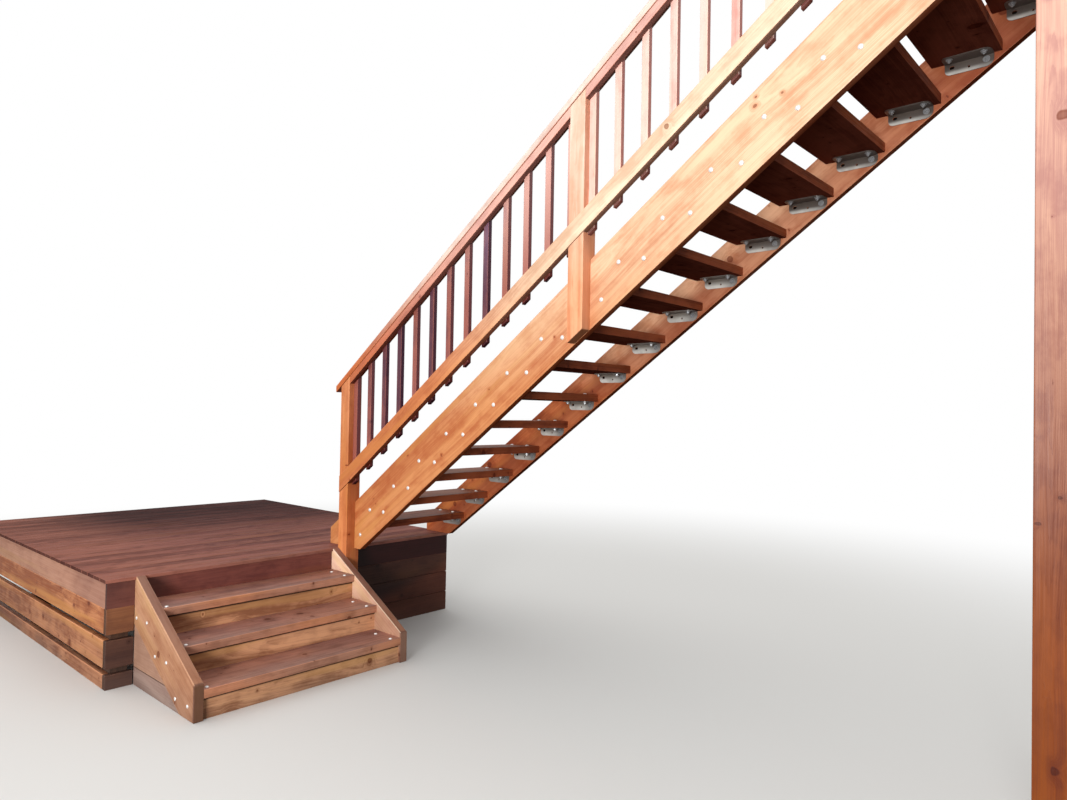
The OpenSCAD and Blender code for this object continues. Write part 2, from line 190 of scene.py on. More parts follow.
def timber(name, pale, deep, turn, centre, pith=(0.15, 0.02), row=None, seams=(), spread=0.0,
           shades=(), knots=0.5, washes=(), gloss=0.5, shine=0.35, figure=1.0, blotch=1.0):
    """Stained sawn timber with growth rings round a pith that runs beside the board.

    pale and deep are the stain on soft and on dense grain. turn takes X to the grain's direction.
    row is the axis (1 or 2) across which boards of one piece follow each other, their pitch, and
    how far each sits from the last along the other cross axis. seams are heights instead: the
    foot, the joints and the top of boards one above the other. shades are how deep each board of
    the row is, 0 to 1; without them, that is left to chance. spread is how far boards differ.
    knots is how knotty it is, gloss its roughness, shine how much it reflects, figure how strongly
    the rings show and blotch how unevenly the stain took. The washes go over the stain in turn.
    """
    finish = bpy.data.materials.new(name)
    finish.use_nodes = True
    tree = finish.node_tree

    def times(a, b):
        return calc(tree, "MULTIPLY", a, b)

    def plus(a, b):
        return calc(tree, "ADD", a, b)

    def minus(a, b):
        return calc(tree, "SUBTRACT", a, b)

    # Place in the board's own axes, with each board of a row or a stack taken to its own middle.
    # Its number, which is any number for a lone board, seeds its own chances.
    place = add_node(tree, "TexCoord", {}, out=3)
    plugs = {"Vector": place, "Location": centre, "Rotation": turn}
    lengthways, *cross = split(tree, add_node(tree, "Mapping", plugs, vector_type="TEXTURE"))
    number = 0.37
    if row:
        axis, pitch, drift = row
        number = calc(tree, "FLOOR", calc(tree, "DIVIDE", cross[axis - 1], pitch))
        cross[axis - 1] = minus(cross[axis - 1], times(plus(number, 0.5), pitch))
        cross[2 - axis] = minus(cross[2 - axis], times(number, drift))
    if seams:
        middles = [(a + b) / 2 - centre[2] for a, b in zip(seams, seams[1:])]
        shift = middles[0]
        for k, seam in enumerate(seams[1:-1]):
            above = calc(tree, "GREATER_THAN", cross[1], seam - centre[2])
            number = plus(number, above)
            shift = plus(shift, times(above, middles[k + 1] - middles[k]))
        cross[1] = minus(cross[1], shift)
    finishes_apart = 3.7
    seed = plus(number, len(bpy.data.materials) * finishes_apart)
    draw = add_node(tree, "TexWhiteNoise", {"W": seed}, out=1, noise_dimensions="1D")
    chance = split(tree, draw)

    # Rings: distance from a pith that wanders along the board, so flat faces show arches
    trunk = 9.0
    pith_shift, pith_wander = 0.06, 0.13
    along = plus(lengthways, times(chance[0], trunk))
    run = add_node(tree, "CombineXYZ", {0: times(along, 0.6), 1: seed, 2: 0.0})
    plugs = {"Vector": run, "Scale": 1.0, "Detail": 2.0}
    bow = split(tree, add_node(tree, "TexNoise", plugs, out=1))
    offsets = []
    for k in (0, 1):
        shift = times(minus(chance[k + 1], 0.5), pith_shift)
        wander = times(minus(bow[k], 0.5), pith_wander)
        offsets.append(plus(minus(cross[k], pith[k]), plus(shift, wander)))
    across = add_node(tree, "CombineXYZ", {0: offsets[0], 1: offsets[1], 2: 0.0})
    radius = add_node(tree, "VectorMath", {0: across}, out=1, operation="LENGTH")

    # Knots: branches that leave the pith, so each runs out through the board, with rings round it.
    # Large ones are far apart and small ones close together.
    reach = math.hypot(*pith)
    lean_y, lean_z = pith[0] / reach, pith[1] / reach
    out = plus(times(offsets[0], -lean_y), times(offsets[1], -lean_z))
    side = plus(times(offsets[0], lean_z), times(offsets[1], -lean_y))
    angle = calc(tree, "ARCTAN2", side, out)
    arc = plus(times(angle, reach + 0.01), times(seed, 1.7))
    bark = add_node(tree, "CombineXYZ", {0: along, 1: arc, 2: 0.0})
    ragged = add_node(tree, "TexNoise", {"Vector": bark, "Scale": 55.0, "Detail": 1.0})
    knot, halo = 0.0, 0.0
    for per_metre, core, share in ((4.4, 0.060, knots), (11.0, 0.045, 0.5 * knots)):
        plugs = {"Vector": bark, "Scale": per_metre}
        cells = add_node(tree, "TexVoronoi", plugs, voronoi_dimensions="2D")
        luck = split(tree, cells.node.outputs["Color"])
        kept = calc(tree, "LESS_THAN", luck[0], share)
        girth = times(plus(luck[1], 0.6), core)
        far = plus(calc(tree, "DIVIDE", cells, girth), times(ragged, 0.5))
        rim = minus(fade(tree, far, 1.4, 1.0), fade(tree, far, 0.95, 0.6, 0.0, 0.15))
        knot = calc(tree, "MAXIMUM", knot, times(rim, kept))
        halo = calc(tree, "MAXIMUM", halo, times(fade(tree, far, 4.6, 1.0), kept))
    rings_bulge = 0.018
    radius = plus(radius, times(calc(tree, "POWER", halo, 2.0), rings_bulge))

    def stretched(lengthways, crossways, detail=2.0):
        """Noise drawn out along the grain."""
        y, z = times(cross[0], crossways), times(cross[1], crossways)
        at = add_node(tree, "CombineXYZ", {0: times(along, lengthways), 1: y, 2: z})
        plugs = {"Vector": at, "Scale": 1.0, "Detail": detail, "Roughness": 0.6}
        return add_node(tree, "TexNoise", plugs)

    # Grain: fine fibres, streaks, curls, broad and narrow rings, and patches of unlike uptake
    fibres = stretched(2.4, 150.0, 3.0)
    streaks = stretched(0.8, 13.0)
    curl = stretched(9.0, 16.0, 3.0)
    layer = add_node(tree, "CombineXYZ", {0: times(along, 0.4), 1: times(radius, 34.0), 2: seed})
    plugs = {"Vector": layer, "Scale": 1.0, "Detail": 3.0, "Roughness": 0.6}
    bands = add_node(tree, "TexNoise", plugs)
    rings_per_metre = 190.0
    ring = plus(times(radius, rings_per_metre), times(fibres, 0.8))
    late = calc(tree, "POWER", calc(tree, "FRACT", ring), 3.0)
    body = add_node(tree, "CombineXYZ", {0: times(along, 0.6), 1: cross[0], 2: cross[1]})
    boards_apart = (5.0, 5.0, 5.0)
    plugs = {0: draw, 1: boards_apart, 2: body}
    apart = add_node(tree, "VectorMath", plugs, operation="MULTIPLY_ADD")
    patches = add_node(tree, "TexNoise", {"Vector": apart, "Scale": 3.0, "Detail": 3.0})

    # Depth of the stain: dense grain, patches and the wood round knots hold more of it
    tone = fade(tree, bands, 0.34, 0.66, 0.0, 0.40 * figure)
    for more in (
        times(late, 0.16 * figure),
        fade(tree, fibres, 0.36, 0.68, 0.0, 0.18),
        fade(tree, patches, 0.35, 0.7, 0.0, 0.3 * blotch),
        fade(tree, curl, 0.42, 0.7, 0.0, 0.3 * blotch),
        times(halo, 0.25),
    ):
        tone = plus(tone, more)
    depth = chance[0]
    if shades:
        picker = tree.nodes.new("ShaderNodeValToRGB")
        stops = picker.color_ramp.elements
        picker.color_ramp.interpolation = "CONSTANT"
        stops.remove(stops[1])
        stops[0].color = (shades[0],) * 3 + (1.0,)
        for k, shade in enumerate(shades[1:], 1):
            stops.new(k / len(shades)).color = (shade,) * 3 + (1.0,)
        tree.links.new(calc(tree, "DIVIDE", plus(number, 0.5), len(shades)), picker.inputs[0])
        depth = picker.outputs[0]
    tone = fade(tree, plus(tone, times(minus(depth, 0.5), spread)), 0.0, 1.15)
    colour = paint(tree, tone, pale, deep)
    olive = (pale[0] * 0.90, pale[1] * 0.93, pale[2] * 0.66, 1.0)
    colour = paint(tree, fade(tree, streaks, 0.5, 0.72, 0.0, 0.55 * blotch), colour, olive)

    faces = add_node(tree, "NewGeometry", {}, out=1)
    looks = split(tree, faces)
    guides = {"up": looks[2], "front": times(looks[1], -1.0), "board": cross[1]}
    broken = fade(tree, patches, 0.38, 0.62)
    for wash in washes:
        value = guides.get(wash.by)
        if value is None:
            plugs = {0: place, 1: wash.by}
            value = add_node(tree, "VectorMath", plugs, out=1, operation="DOT_PRODUCT")
        shaded = tuple(w * (d / p) ** 0.8 for w, d, p in zip(wash.colour, deep, pale))
        cover = times(fade(tree, value, wash.start, wash.full, 0.0, wash.amount),
                      plus(times(broken, wash.patchy), 1.0 - wash.patchy))
        colour = paint(tree, cover, colour, paint(tree, tone, wash.colour, shaded))

    # Knots and drying checks are dark, end grain drinks more stain, and the eased edges are painted
    # paler, partly as wear and partly as a painted highlight along each arris.
    checks = fade(tree, stretched(1.6, 70.0, 1.0), 0.70, 0.78, 0.0, 0.55)
    checks = times(checks, times(broken, knots))
    marks = calc(tree, "MAXIMUM", times(knot, 0.9), checks)
    bark_brown = (0.42, 0.24, 0.17, 1.0)
    plugs = {0: marks, 6: colour, 7: bark_brown}
    colour = add_node(tree, "Mix", plugs, out=2, data_type="RGBA", blend_type="MULTIPLY")
    plugs = {"Vector": faces, "Rotation": turn}
    turned = split(tree, add_node(tree, "Mapping", plugs, vector_type="TEXTURE"))
    lengthwise, *others = (calc(tree, "ABSOLUTE", part) for part in turned)
    dark = tuple(0.34 * level for level in deep[:3]) + (1.0,)
    colour = paint(tree, fade(tree, lengthwise, 0.6, 0.85, 0.0, 0.75), colour, dark)
    squarest = plus(calc(tree, "MAXIMUM", *others), lengthwise)
    arris = tuple(min(1.0, 1.25 * level + 0.02) for level in pale[:3]) + (1.0,)
    colour = paint(tree, fade(tree, squarest, 0.985, 0.93, 0.0, 0.3), colour, arris)

    coat = tree.nodes["Principled BSDF"]
    tree.links.new(colour, coat.inputs["Base Color"])
    roughness = fade(tree, fibres, 0.3, 0.7, gloss - 0.08, gloss + 0.14)
    tree.links.new(roughness, coat.inputs["Roughness"])
    sheen = fade(tree, guides["up"], -0.7, -0.3, 0.0, shine)
    tree.links.new(sheen, coat.inputs["Specular IOR Level"])
    relief = minus(plus(times(late, 0.35), times(fibres, 0.8)), times(checks, 2.0))
    bump = add_node(tree, "Bump", {"Height": relief, "Strength": 0.35, "Distance": 0.0012})
    tree.links.new(bump, coat.inputs["Normal"])
    return finish


def finish_node(node, material, ease=0.0025):
    """Gives a piece of the frame its finish and takes its sawn edges off by a small round."""
    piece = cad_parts[node]
    piece.data.materials.clear()
    piece.data.materials.append(material)
    weld = piece.modifiers.new("weld", "WELD")
    weld.merge_threshold = 0.00005
    if ease:
        eased = piece.modifiers.new("eased_edges", "BEVEL")
        eased.width = ease
        eased.segments = 2
        eased.limit_method = "ANGLE"
        eased.angle_limit = math.radians(40)


first_low, first_high, _ = corners("tread_01")
second_low, _, _ = corners("tread_02")
rise = second_low.z - first_low.z
going = first_low.y - second_low.y
rake = math.atan2(rise, going)
# The turn that lays the grain along the rake
on_rake = (0.0, rake, math.pi / 2)
height = (0.0, 0.0, 1.0)
# Square to the rake, towards a raking board's upper edge
over_rake = (0.0, math.sin(rake), math.cos(rake))
# Up the flight, and far more so towards the upper edge
up_rake = (0.0, 0.785, 2.14)

# Outer stringer: paler up the rake, as sun-bleaching and painted light, and painted shade
# underneath
_, _, middle = corners("outer_stringer")
finish_node("outer_stringer", timber(
    "outer_stringer_stain", tint(216, 147, 93), tint(179, 96, 52), on_rake, middle,
    knots=0.14, gloss=0.42, figure=1.15, blotch=0.9,
    washes=[Wash(tint(250, 216, 180), up_rake, start=2.2, full=3.5, amount=0.95, patchy=0.1),
            Wash(tint(118, 58, 34), "up", start=-0.3, full=-0.6, amount=0.94)]), ease=0.003)

# The wall stringer is painted paler from about 1.6 m up and a deeper orange again above 2.5 m,
# as painted light and shade. Painted shade also darkens its lower edge, where the treads shade it,
# and its underside.
_, _, middle = corners("wall_stringer")
centre_line = middle.dot(over_rake)
finish_node("wall_stringer", timber(
    "wall_stringer_stain", tint(232, 140, 84), tint(186, 90, 45), on_rake, middle,
    pith=(-0.15, 0.02), knots=0.4, gloss=0.42, figure=1.2, blotch=1.5,
    washes=[Wash(tint(255, 206, 166), height, start=1.6, full=1.95, amount=0.97, patchy=0.1),
            Wash(tint(212, 138, 96), height, start=2.5, full=3.1, amount=0.9, patchy=0.1),
            Wash(tint(166, 92, 58), over_rake, start=centre_line + 0.02, full=centre_line - 0.07,
                 amount=0.85, patchy=0.2),
            Wash(tint(88, 44, 30), "up", start=-0.3, full=-0.6, amount=0.9)]), ease=0.003)

# Treads of the long flight: 16 planed planks with eased front edges, in a darker brown stain.
# Each one sits on a bracket at both ends, is scuffed on top and has painted shade underneath.
# The turn of boards whose grain lies level across the flight
level_x = (0.0, 0.0, 0.0)
tread_names = [name for name in sorted(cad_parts) if name.startswith("tread_")]
tread_middle = (first_low + first_high) / 2
below = (rise - (first_high.z - first_low.z)) / 2
start = Vector((tread_middle.x, tread_middle.y, first_low.z - below))
tread_stain = timber(
    "tread_stain", tint(150, 76, 46), tint(100, 44, 26), level_x, start,
    pith=(0.04, -0.16), row=(2, rise, -going), spread=0.5, knots=0.4, gloss=0.5, shine=0.12,
    washes=[Wash(tint(136, 92, 70), "up", start=0.7, full=0.9, amount=0.75, patchy=0.4),
            Wash(tint(92, 46, 35), "up", start=-0.5, full=-0.8, amount=0.95)])
for name in tread_names:
    finish_node(name, tread_stain, ease=0.002)

# Tread brackets: steel plate pressed to an angle and hot-dip galvanised, one under each end of
# each tread. The zinc is bright and grey in clouds, with a faint spangle. Painted shade and a
# painted dark reflection darken the plates in places and on the faces that look down.
for name in ("brackets_outer", "brackets_wall"):
    low, high, _ = corners(name)
    zinc = bpy.data.materials.new(name + "_zinc")
    zinc.use_nodes = True
    tree = zinc.node_tree
    place = add_node(tree, "TexCoord", {}, out=3)
    grains = add_node(tree, "TexVoronoi", {"Vector": place, "Scale": 70.0})
    spangle = split(tree, grains.node.outputs["Color"])[0]
    clouds = add_node(tree, "TexNoise", {"Vector": place, "Scale": 9.0, "Detail": 4.0})
    cloudy = fade(tree, clouds, 0.38, 0.62)
    zinc_and_shade = paint(tree, cloudy, tint(240, 238, 230), tint(200, 196, 188))
    zinc_and_shade = paint(tree, calc(tree, "MULTIPLY", spangle, 0.3), zinc_and_shade, tint(228, 228, 226))
    # Painted shade: each plate darkens towards the tread above it and towards its front end
    _, y, z = split(tree, place)
    lift = calc(tree, "FRACT", calc(tree, "DIVIDE", calc(tree, "SUBTRACT", z, low.z), rise))
    front = calc(tree, "FRACT", calc(tree, "DIVIDE", calc(tree, "SUBTRACT", high.y, y), going))
    zinc_and_shade = paint(tree, fade(tree, lift, 0.06, 0.26, 0.0, 0.85), zinc_and_shade, tint(100, 88, 76))
    zinc_and_shade = paint(tree, fade(tree, front, 0.3, 0.75, 0.0, 0.65), zinc_and_shade, tint(108, 104, 104))
    # Painted shade: the lowest plates are darker, and the highest darker still towards their treads
    zinc_and_shade = paint(tree, fade(tree, z, 1.5, 0.9, 0.0, 0.55), zinc_and_shade, tint(112, 100, 92))
    high_plate_shade = calc(tree, "MULTIPLY", fade(tree, z, 2.1, 2.6),
                       fade(tree, lift, 0.03, 0.14, 0.15, 0.9))
    zinc_and_shade = paint(tree, high_plate_shade, zinc_and_shade, tint(80, 70, 64))
    # Painted shade and a painted dark reflection on the faces that look down
    faces = split(tree, add_node(tree, "NewGeometry", {}, out=1))[2]
    zinc_and_shade = paint(tree, fade(tree, faces, -0.6, -0.9, 0.0, 0.9), zinc_and_shade, tint(74, 62, 56))
    plate = tree.nodes["Principled BSDF"]
    tree.links.new(zinc_and_shade, plate.inputs["Base Color"])
    plate.inputs["Metallic"].default_value = 0.3
    tree.links.new(fade(tree, clouds, 0.3, 0.7, 0.28, 0.44), plate.inputs["Roughness"])
    bump = add_node(tree, "Bump", {"Height": clouds, "Strength": 0.1, "Distance": 0.001})
    tree.links.new(bump, plate.inputs["Normal"])
    finish_node(name, zinc, ease=0)

# Posts: square dressed pine, stained as the stringers. The newel, the mid post and the top post
# are housed over the outer stringer, and all but the mid post reach down to the floor.
upright = (0.0, -math.pi / 2, 0.0)
# Washes of the posts: paler higher up, partly sun-bleaching and partly painted light of the bright
# sky; painted shade on the faces that look to the front and on the undersides; grime at the foot
grime = Wash(tint(110, 76, 60), height, start=0.35, full=0.0, amount=0.6, patchy=0.6)
under = Wash(tint(90, 50, 34), "up", start=-0.5, full=-0.8, amount=0.8)
for name, pale, deep, bleached_and_lit, shaded in (
    ("newel_post", tint(226, 144, 90), tint(186, 100, 56),
     Wash(tint(236, 166, 120), height, start=0.9, full=1.7, amount=0.5, patchy=0.3),
     tint(168, 92, 56)),
    ("mid_post", tint(238, 173, 131), tint(212, 134, 92),
     Wash(tint(250, 230, 212), height, start=2.0, full=3.0, amount=0.9, patchy=0.1),
     tint(214, 136, 98)),
    ("top_post", tint(134, 65, 18), tint(96, 38, 9),
     Wash(tint(250, 203, 175), height, start=0.8, full=3.1, amount=1.0, patchy=0.1),
     tint(126, 66, 40)),
    ("wall_post", tint(196, 122, 80), tint(154, 86, 52),
     Wash(tint(226, 164, 130), height, start=0.8, full=3.0, amount=0.7, patchy=0.2),
     tint(150, 86, 56)),
):
    _, _, middle = corners(name)
    # Painted shade on the faces that look to the front
    front = Wash(shaded, "front", start=0.5, full=0.8, amount=0.6)
    finish_node(name, timber(
        name + "_stain", pale, deep, upright, middle, pith=(0.01, 0.03), knots=0.26, gloss=0.42,
        shine=0.2, figure=1.2, washes=[bleached_and_lit, front, grime, under]), ease=0.004)

# Head trimmer: one pine plank on edge between the top post and the wall post, in the same stain.
# It closes the flight at the top and carries the ends of both stringers.
_, _, middle = corners("head_trimmer")
finish_node("head_trimmer", timber(
    "head_trimmer_stain", tint(226, 150, 100), tint(190, 110, 66), level_x, middle, knots=0.3))

# Balustrade: a flat cap on a thin sub-rail, one bottom rail across the faces of the posts, and
# square balusters of a redder hardwood nailed behind both. No two balusters are quite alike.
# Painted shade on the faces that look down; the rails are also paler higher up, partly
# sun-bleaching and partly painted light of the bright sky
under = Wash(tint(92, 50, 44), "up", start=-0.3, full=-0.6, amount=0.85)
_, _, middle = corners("handrail_cap")
bleached_and_lit = Wash(tint(252, 238, 224), height, start=1.75, full=2.6, amount=0.95, patchy=0.1)
finish_node("handrail_cap", timber(
    "cap_stain", tint(208, 112, 54), tint(166, 76, 34), on_rake, middle, pith=(0.02, 0.15),
    knots=0.15, gloss=0.42, washes=[bleached_and_lit, under]), ease=0.004)
_, _, middle = corners("sub_rails")
bleached_and_lit = Wash(tint(248, 200, 184), height, start=1.8, full=2.8, amount=0.9, patchy=0.1)
finish_node("sub_rails", timber(
    "sub_rail_stain", tint(206, 114, 76), tint(160, 80, 54), on_rake, middle,
    knots=0.1, gloss=0.42, washes=[bleached_and_lit, under]), ease=0.003)
_, _, middle = corners("bottom_rail")
bleached_and_lit = Wash(tint(255, 234, 204), height, start=1.6, full=2.6, amount=0.95, patchy=0.1)
finish_node("bottom_rail", timber(
    "bottom_rail_stain", tint(220, 138, 84), tint(180, 98, 54), on_rake, middle,
    knots=0.03, gloss=0.42, figure=1.2, washes=[bleached_and_lit, under]), ease=0.003)

# The ends of the balusters below the rail are painted darker: painted shade under the rail.
rail_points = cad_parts["bottom_rail"].data.vertices
foot = min(Vector(over_rake).dot(point.co) for point in rail_points)
tail_shade = Wash(tint(92, 38, 34), over_rake, start=foot + 0.05, full=foot + 0.02, amount=0.88)
baluster_count = 13
baluster_w = 0.040
# The upper run is paler than the lower, and both are painted paler further up, partly sun-bleaching
# and partly painted light; painted shade darkens the faces that look to the front and the
# undersides.
for name, pale, deep, bleached_and_lit, front, shades in (
    ("balusters_lower", tint(160, 92, 80), tint(86, 48, 62),
     Wash(tint(250, 200, 186), height, start=2.1, full=3.0, amount=0.85, patchy=0.2),
     Wash(tint(96, 52, 60), "front", start=0.5, full=0.8, amount=0.85),
     (0.0, 0.15, 0.0, 0.25, 0.9, 0.3, 0.55, 1.0, 0.5, 0.85, 0.75, 0.45, 0.0)),
    ("balusters_upper", tint(252, 208, 192), tint(220, 144, 130),
     Wash(tint(242, 206, 196), height, start=2.6, full=3.6, amount=0.6, patchy=0.2),
     Wash(tint(178, 104, 96), "front", start=0.5, full=0.8, amount=0.8),
     (0.4, 0.8, 0.2, 0.5, 0.1, 0.7, 0.3, 0.6, 0.3, 0.4, 0.4, 0.35, 0.3)),
):
    low, high, middle = corners(name)
    pitch = (high.y - low.y - baluster_w) / (baluster_count - 1)
    start = Vector((middle.x, low.y - (pitch - baluster_w) / 2, middle.z))
    finish_node(name, timber(
        name + "_oil", pale, deep, upright, start, pith=(0.05, 0.05), row=(1, pitch, 0.0),
        spread=1.3, shades=shades, knots=0.12, gloss=0.42, figure=0.7,
        washes=[bleached_and_lit, front, tail_shade, under]), ease=0.003)

# Box steps: two sloping side boards, level boards filling the triangle under each, three treads
# with eased noses and three risers. The stain is brown, scuffed on the treads, grey at the foot.
splashed = tint(112, 98, 92)
# The turn of boards whose grain lies level from front to back
level_y = (0.0, 0.0, math.pi / 2)
back = (0.0, 1.0, 0.0)
cheek_slope = math.radians(29)
# The cheeks are darker on their top edges and towards the foot, greyer still at the foot, and have
# painted shade at their front ends; on the right cheek the darkening towards the foot is painted
# shade.
for name, pale, deep, foot in (
    ("left_cheek", tint(218, 170, 136), tint(178, 124, 92), tint(176, 124, 92)),
    ("right_cheek", tint(255, 216, 190), tint(220, 166, 138), tint(152, 104, 78)),
):
    low, _, middle = corners(name)
    finish_node(name, timber(
        name + "_stain", pale, deep, (0.0, -cheek_slope, math.pi / 2), middle, knots=0.4, gloss=0.5,
        washes=[Wash(tint(118, 72, 60), "up", start=0.5, full=0.8, amount=0.9, patchy=0.1),
                Wash(foot, height, start=0.5, full=0.2, amount=0.9, patchy=0.2),
                Wash(splashed, height, start=0.2, full=0.0, amount=0.45, patchy=0.6),
                Wash(tint(90, 58, 48), back, start=low.y + 0.016, full=low.y + 0.004, amount=0.85,
                     patchy=0.2)]), ease=0.004)

# The joint between the two infill boards is a dark line, and the lower board is greyer
_, _, middle = corners("cheek_infill")
joint = 0.0985
finish_node("cheek_infill", timber(
    "infill_stain", tint(206, 158, 128), tint(164, 118, 94), level_y, middle, knots=0.1, gloss=0.6,
    washes=[Wash(tint(150, 126, 116), height, start=0.3, full=0.1, amount=0.8, patchy=0.2),
            Wash(tint(66, 44, 36), height, start=joint - 0.005, full=joint - 0.001, amount=0.85),
            Wash(tint(190, 150, 126), height, start=joint + 0.001, full=joint + 0.003, amount=1.0),
            Wash(tint(172, 146, 134), height, start=joint - 0.003, full=joint - 0.006, amount=0.8,
                 patchy=0.3),
            Wash(splashed, height, start=0.09, full=0.0, amount=0.4, patchy=0.4)]), ease=0.003)
step_treads = ("step_tread_1", "step_tread_2", "step_tread_3")
for name in step_treads:
    low, _, middle = corners(name)
    finish_node(name, timber(
        name + "_stain", tint(202, 134, 98), tint(140, 86, 60), level_x, middle,
        pith=(0.03, -0.16), knots=0.35, gloss=0.5,
        washes=[Wash(tint(154, 112, 106), "up", start=0.7, full=0.9, amount=0.85, patchy=0.35),
                Wash(tint(176, 142, 128), back, start=low.y + 0.12, full=low.y + 0.03, amount=0.45,
                     patchy=0.8)]), ease=0.003)

# Under each nose, the top of each riser is painted almost black, a painted shadow of the nose.
low, _, middle = corners("step_risers")
riser_t = 0.025
riser_rise = 0.151
riser_run = 0.255
finish_node("step_risers", timber(
    "riser_stain", tint(214, 158, 118), tint(140, 90, 62), level_x,
    Vector((middle.x, low.y + riser_t / 2, 0.0)), row=(2, riser_rise, riser_run),
    spread=0.3, knots=0.45, gloss=0.55, figure=1.7, blotch=1.0,
    washes=[Wash(splashed, height, start=0.09, full=0.0, amount=0.5, patchy=0.6),
            Wash(tint(40, 22, 18), "board", start=0.015, full=0.023, amount=0.96)]), ease=0.0015)

# Deck: narrow boards of a dark red hardwood across a pine frame, with a fascia of the same wood.
# The tops are dusty and faded, and the fascia on the open left side has weathered to pink-brown.
board_pitch = 0.094
right = (1.0, 0.0, 0.0)
right_back = (0.2, 0.95, 0.0)
# The boards are dusty towards the front, painted darker towards the back as painted shade, and
# painted paler again on the open left side as painted light.
low, _, middle = corners("deck_boards")
finish_node("deck_boards", timber(
    "deck_board_oil", tint(148, 94, 84), tint(102, 60, 55), level_x,
    Vector((middle.x, low.y, middle.z)), pith=(0.03, -0.16), row=(1, board_pitch, 0.0),
    spread=0.8, knots=0.0, gloss=0.55, shine=0.02, figure=0.8, blotch=1.3,
    washes=[Wash(tint(146, 104, 92), back, start=1.4, full=0.0, amount=0.4, patchy=0.9),
            Wash(tint(56, 22, 21), right_back, start=0.3, full=2.3, amount=0.95, patchy=0.05),
            Wash(tint(168, 108, 90), right, start=-0.5, full=-1.4, amount=0.85, patchy=0.5)]),
    ease=0.002)
# Painted shade darkens the part of the front fascia under the flight
_, _, middle = corners("front_fascia")
finish_node("front_fascia", timber(
    "front_fascia_oil", tint(128, 72, 62), tint(92, 46, 42), level_x, middle,
    knots=0.0, gloss=0.45,
    washes=[Wash(tint(42, 6, 8), right, start=-0.10, full=-0.04, amount=0.96),
            Wash(tint(92, 60, 54), right, start=-1.10, full=-1.22, amount=0.8, patchy=0.3)]),
    ease=0.002)
low, _, middle = corners("side_fascia")
front_end = Wash(tint(128, 84, 74), back, start=low.y + 0.7, full=low.y + 0.1, amount=0.75,
                 patchy=0.5)
finish_node("side_fascia", timber(
    "side_fascia_oil", tint(190, 140, 116), tint(154, 104, 84), level_y, middle,
    knots=0.0, gloss=0.6, figure=0.8, blotch=0.8, washes=[front_end]), ease=0.002)

# Skirting: stained boards one under the other round the open sides of the deck, with gaps on the
# left and front. Under the flight they are close together and painted darker, as painted shade.
skirt_seams = (0.0, 0.095, 0.2915, 0.431)
_, _, middle = corners("side_skirting")
finish_node("side_skirting", timber(
    "side_skirting_stain", tint(216, 146, 98), tint(150, 84, 50), level_y, middle,
    seams=skirt_seams, spread=0.4, knots=0.6, gloss=0.45, figure=1.5, blotch=1.3,
    washes=[Wash(tint(150, 108, 88), height, start=0.29, full=0.2, amount=0.6, patchy=0.3),
            Wash(splashed, height, start=0.12, full=0.0, amount=0.6, patchy=0.6)]), ease=0.004)
_, _, middle = corners("front_skirting")
right_down = (0.3, 0.0, -1.0)
finish_node("front_skirting", timber(
    "front_skirting_stain", tint(156, 104, 70), tint(112, 70, 48), level_x, middle,
    seams=skirt_seams, spread=0.6, knots=0.3, gloss=0.5,
    washes=[Wash(tint(70, 48, 45), height, start=0.30, full=0.26, amount=0.9, patchy=0.1),
            Wash(tint(62, 32, 28), right, start=-0.08, full=-0.05, amount=0.92, patchy=0.1),
            Wash(tint(116, 62, 42), right_down, start=-0.13, full=-0.02, amount=0.8, patchy=0.3),
            Wash(splashed, height, start=0.14, full=0.0, amount=0.3, patchy=0.6)]), ease=0.004)

# Deck frame: rough-sawn treated pine joists on bearers and square stumps, brushed once with the
# dark stain, painted darker still as painted shade under the deck, and greyed with dust near the
# floor, seen through the gaps of the skirting.
dust = Wash(tint(66, 54, 48), height, start=0.30, full=0.0, amount=0.7, patchy=0.5)
for name, turn in (("deck_joists", level_y), ("deck_bearers", level_x), ("deck_stumps", upright)):
    _, _, middle = corners(name)
    finish_node(name, timber(
        name + "_pine", tint(92, 62, 46), tint(60, 40, 30), turn, middle, pith=(0.03, 0.02),
        knots=0.5, gloss=0.7, washes=[dust]), ease=0.002)

# Bolts: galvanised cup-head bolts through the stringer, the treads and the cheeks, each drawn up
# by a hexagon nut on a round washer where it comes out at a bracket.
# The heads are painted near white and the nuts a darker grey: lit and shaded versions of the same
# zinc, a painted highlight on the heads and painted shade on the nuts.
shells = []
for name, light, dark in (
    ("galvanised_bolt_lit", tint(252, 250, 246), tint(222, 222, 222)),
    ("galvanised_nut_shaded", tint(160, 162, 166), tint(116, 114, 112)),
):
    shell = bpy.data.materials.new(name)
    shell.use_nodes = True
    tree = shell.node_tree
    plugs = {"Vector": add_node(tree, "TexCoord", {}, out=3), "Scale": 60.0, "Detail": 3.0}
    clouds = add_node(tree, "TexNoise", plugs)
    metal = tree.nodes["Principled BSDF"]
    tree.links.new(paint(tree, clouds, light, dark), metal.inputs["Base Color"])
    tree.links.new(fade(tree, clouds, 0.3, 0.7, 0.25, 0.4), metal.inputs["Roughness"])
    metal.inputs["Metallic"].default_value = 0.35
    shells.append(shell)

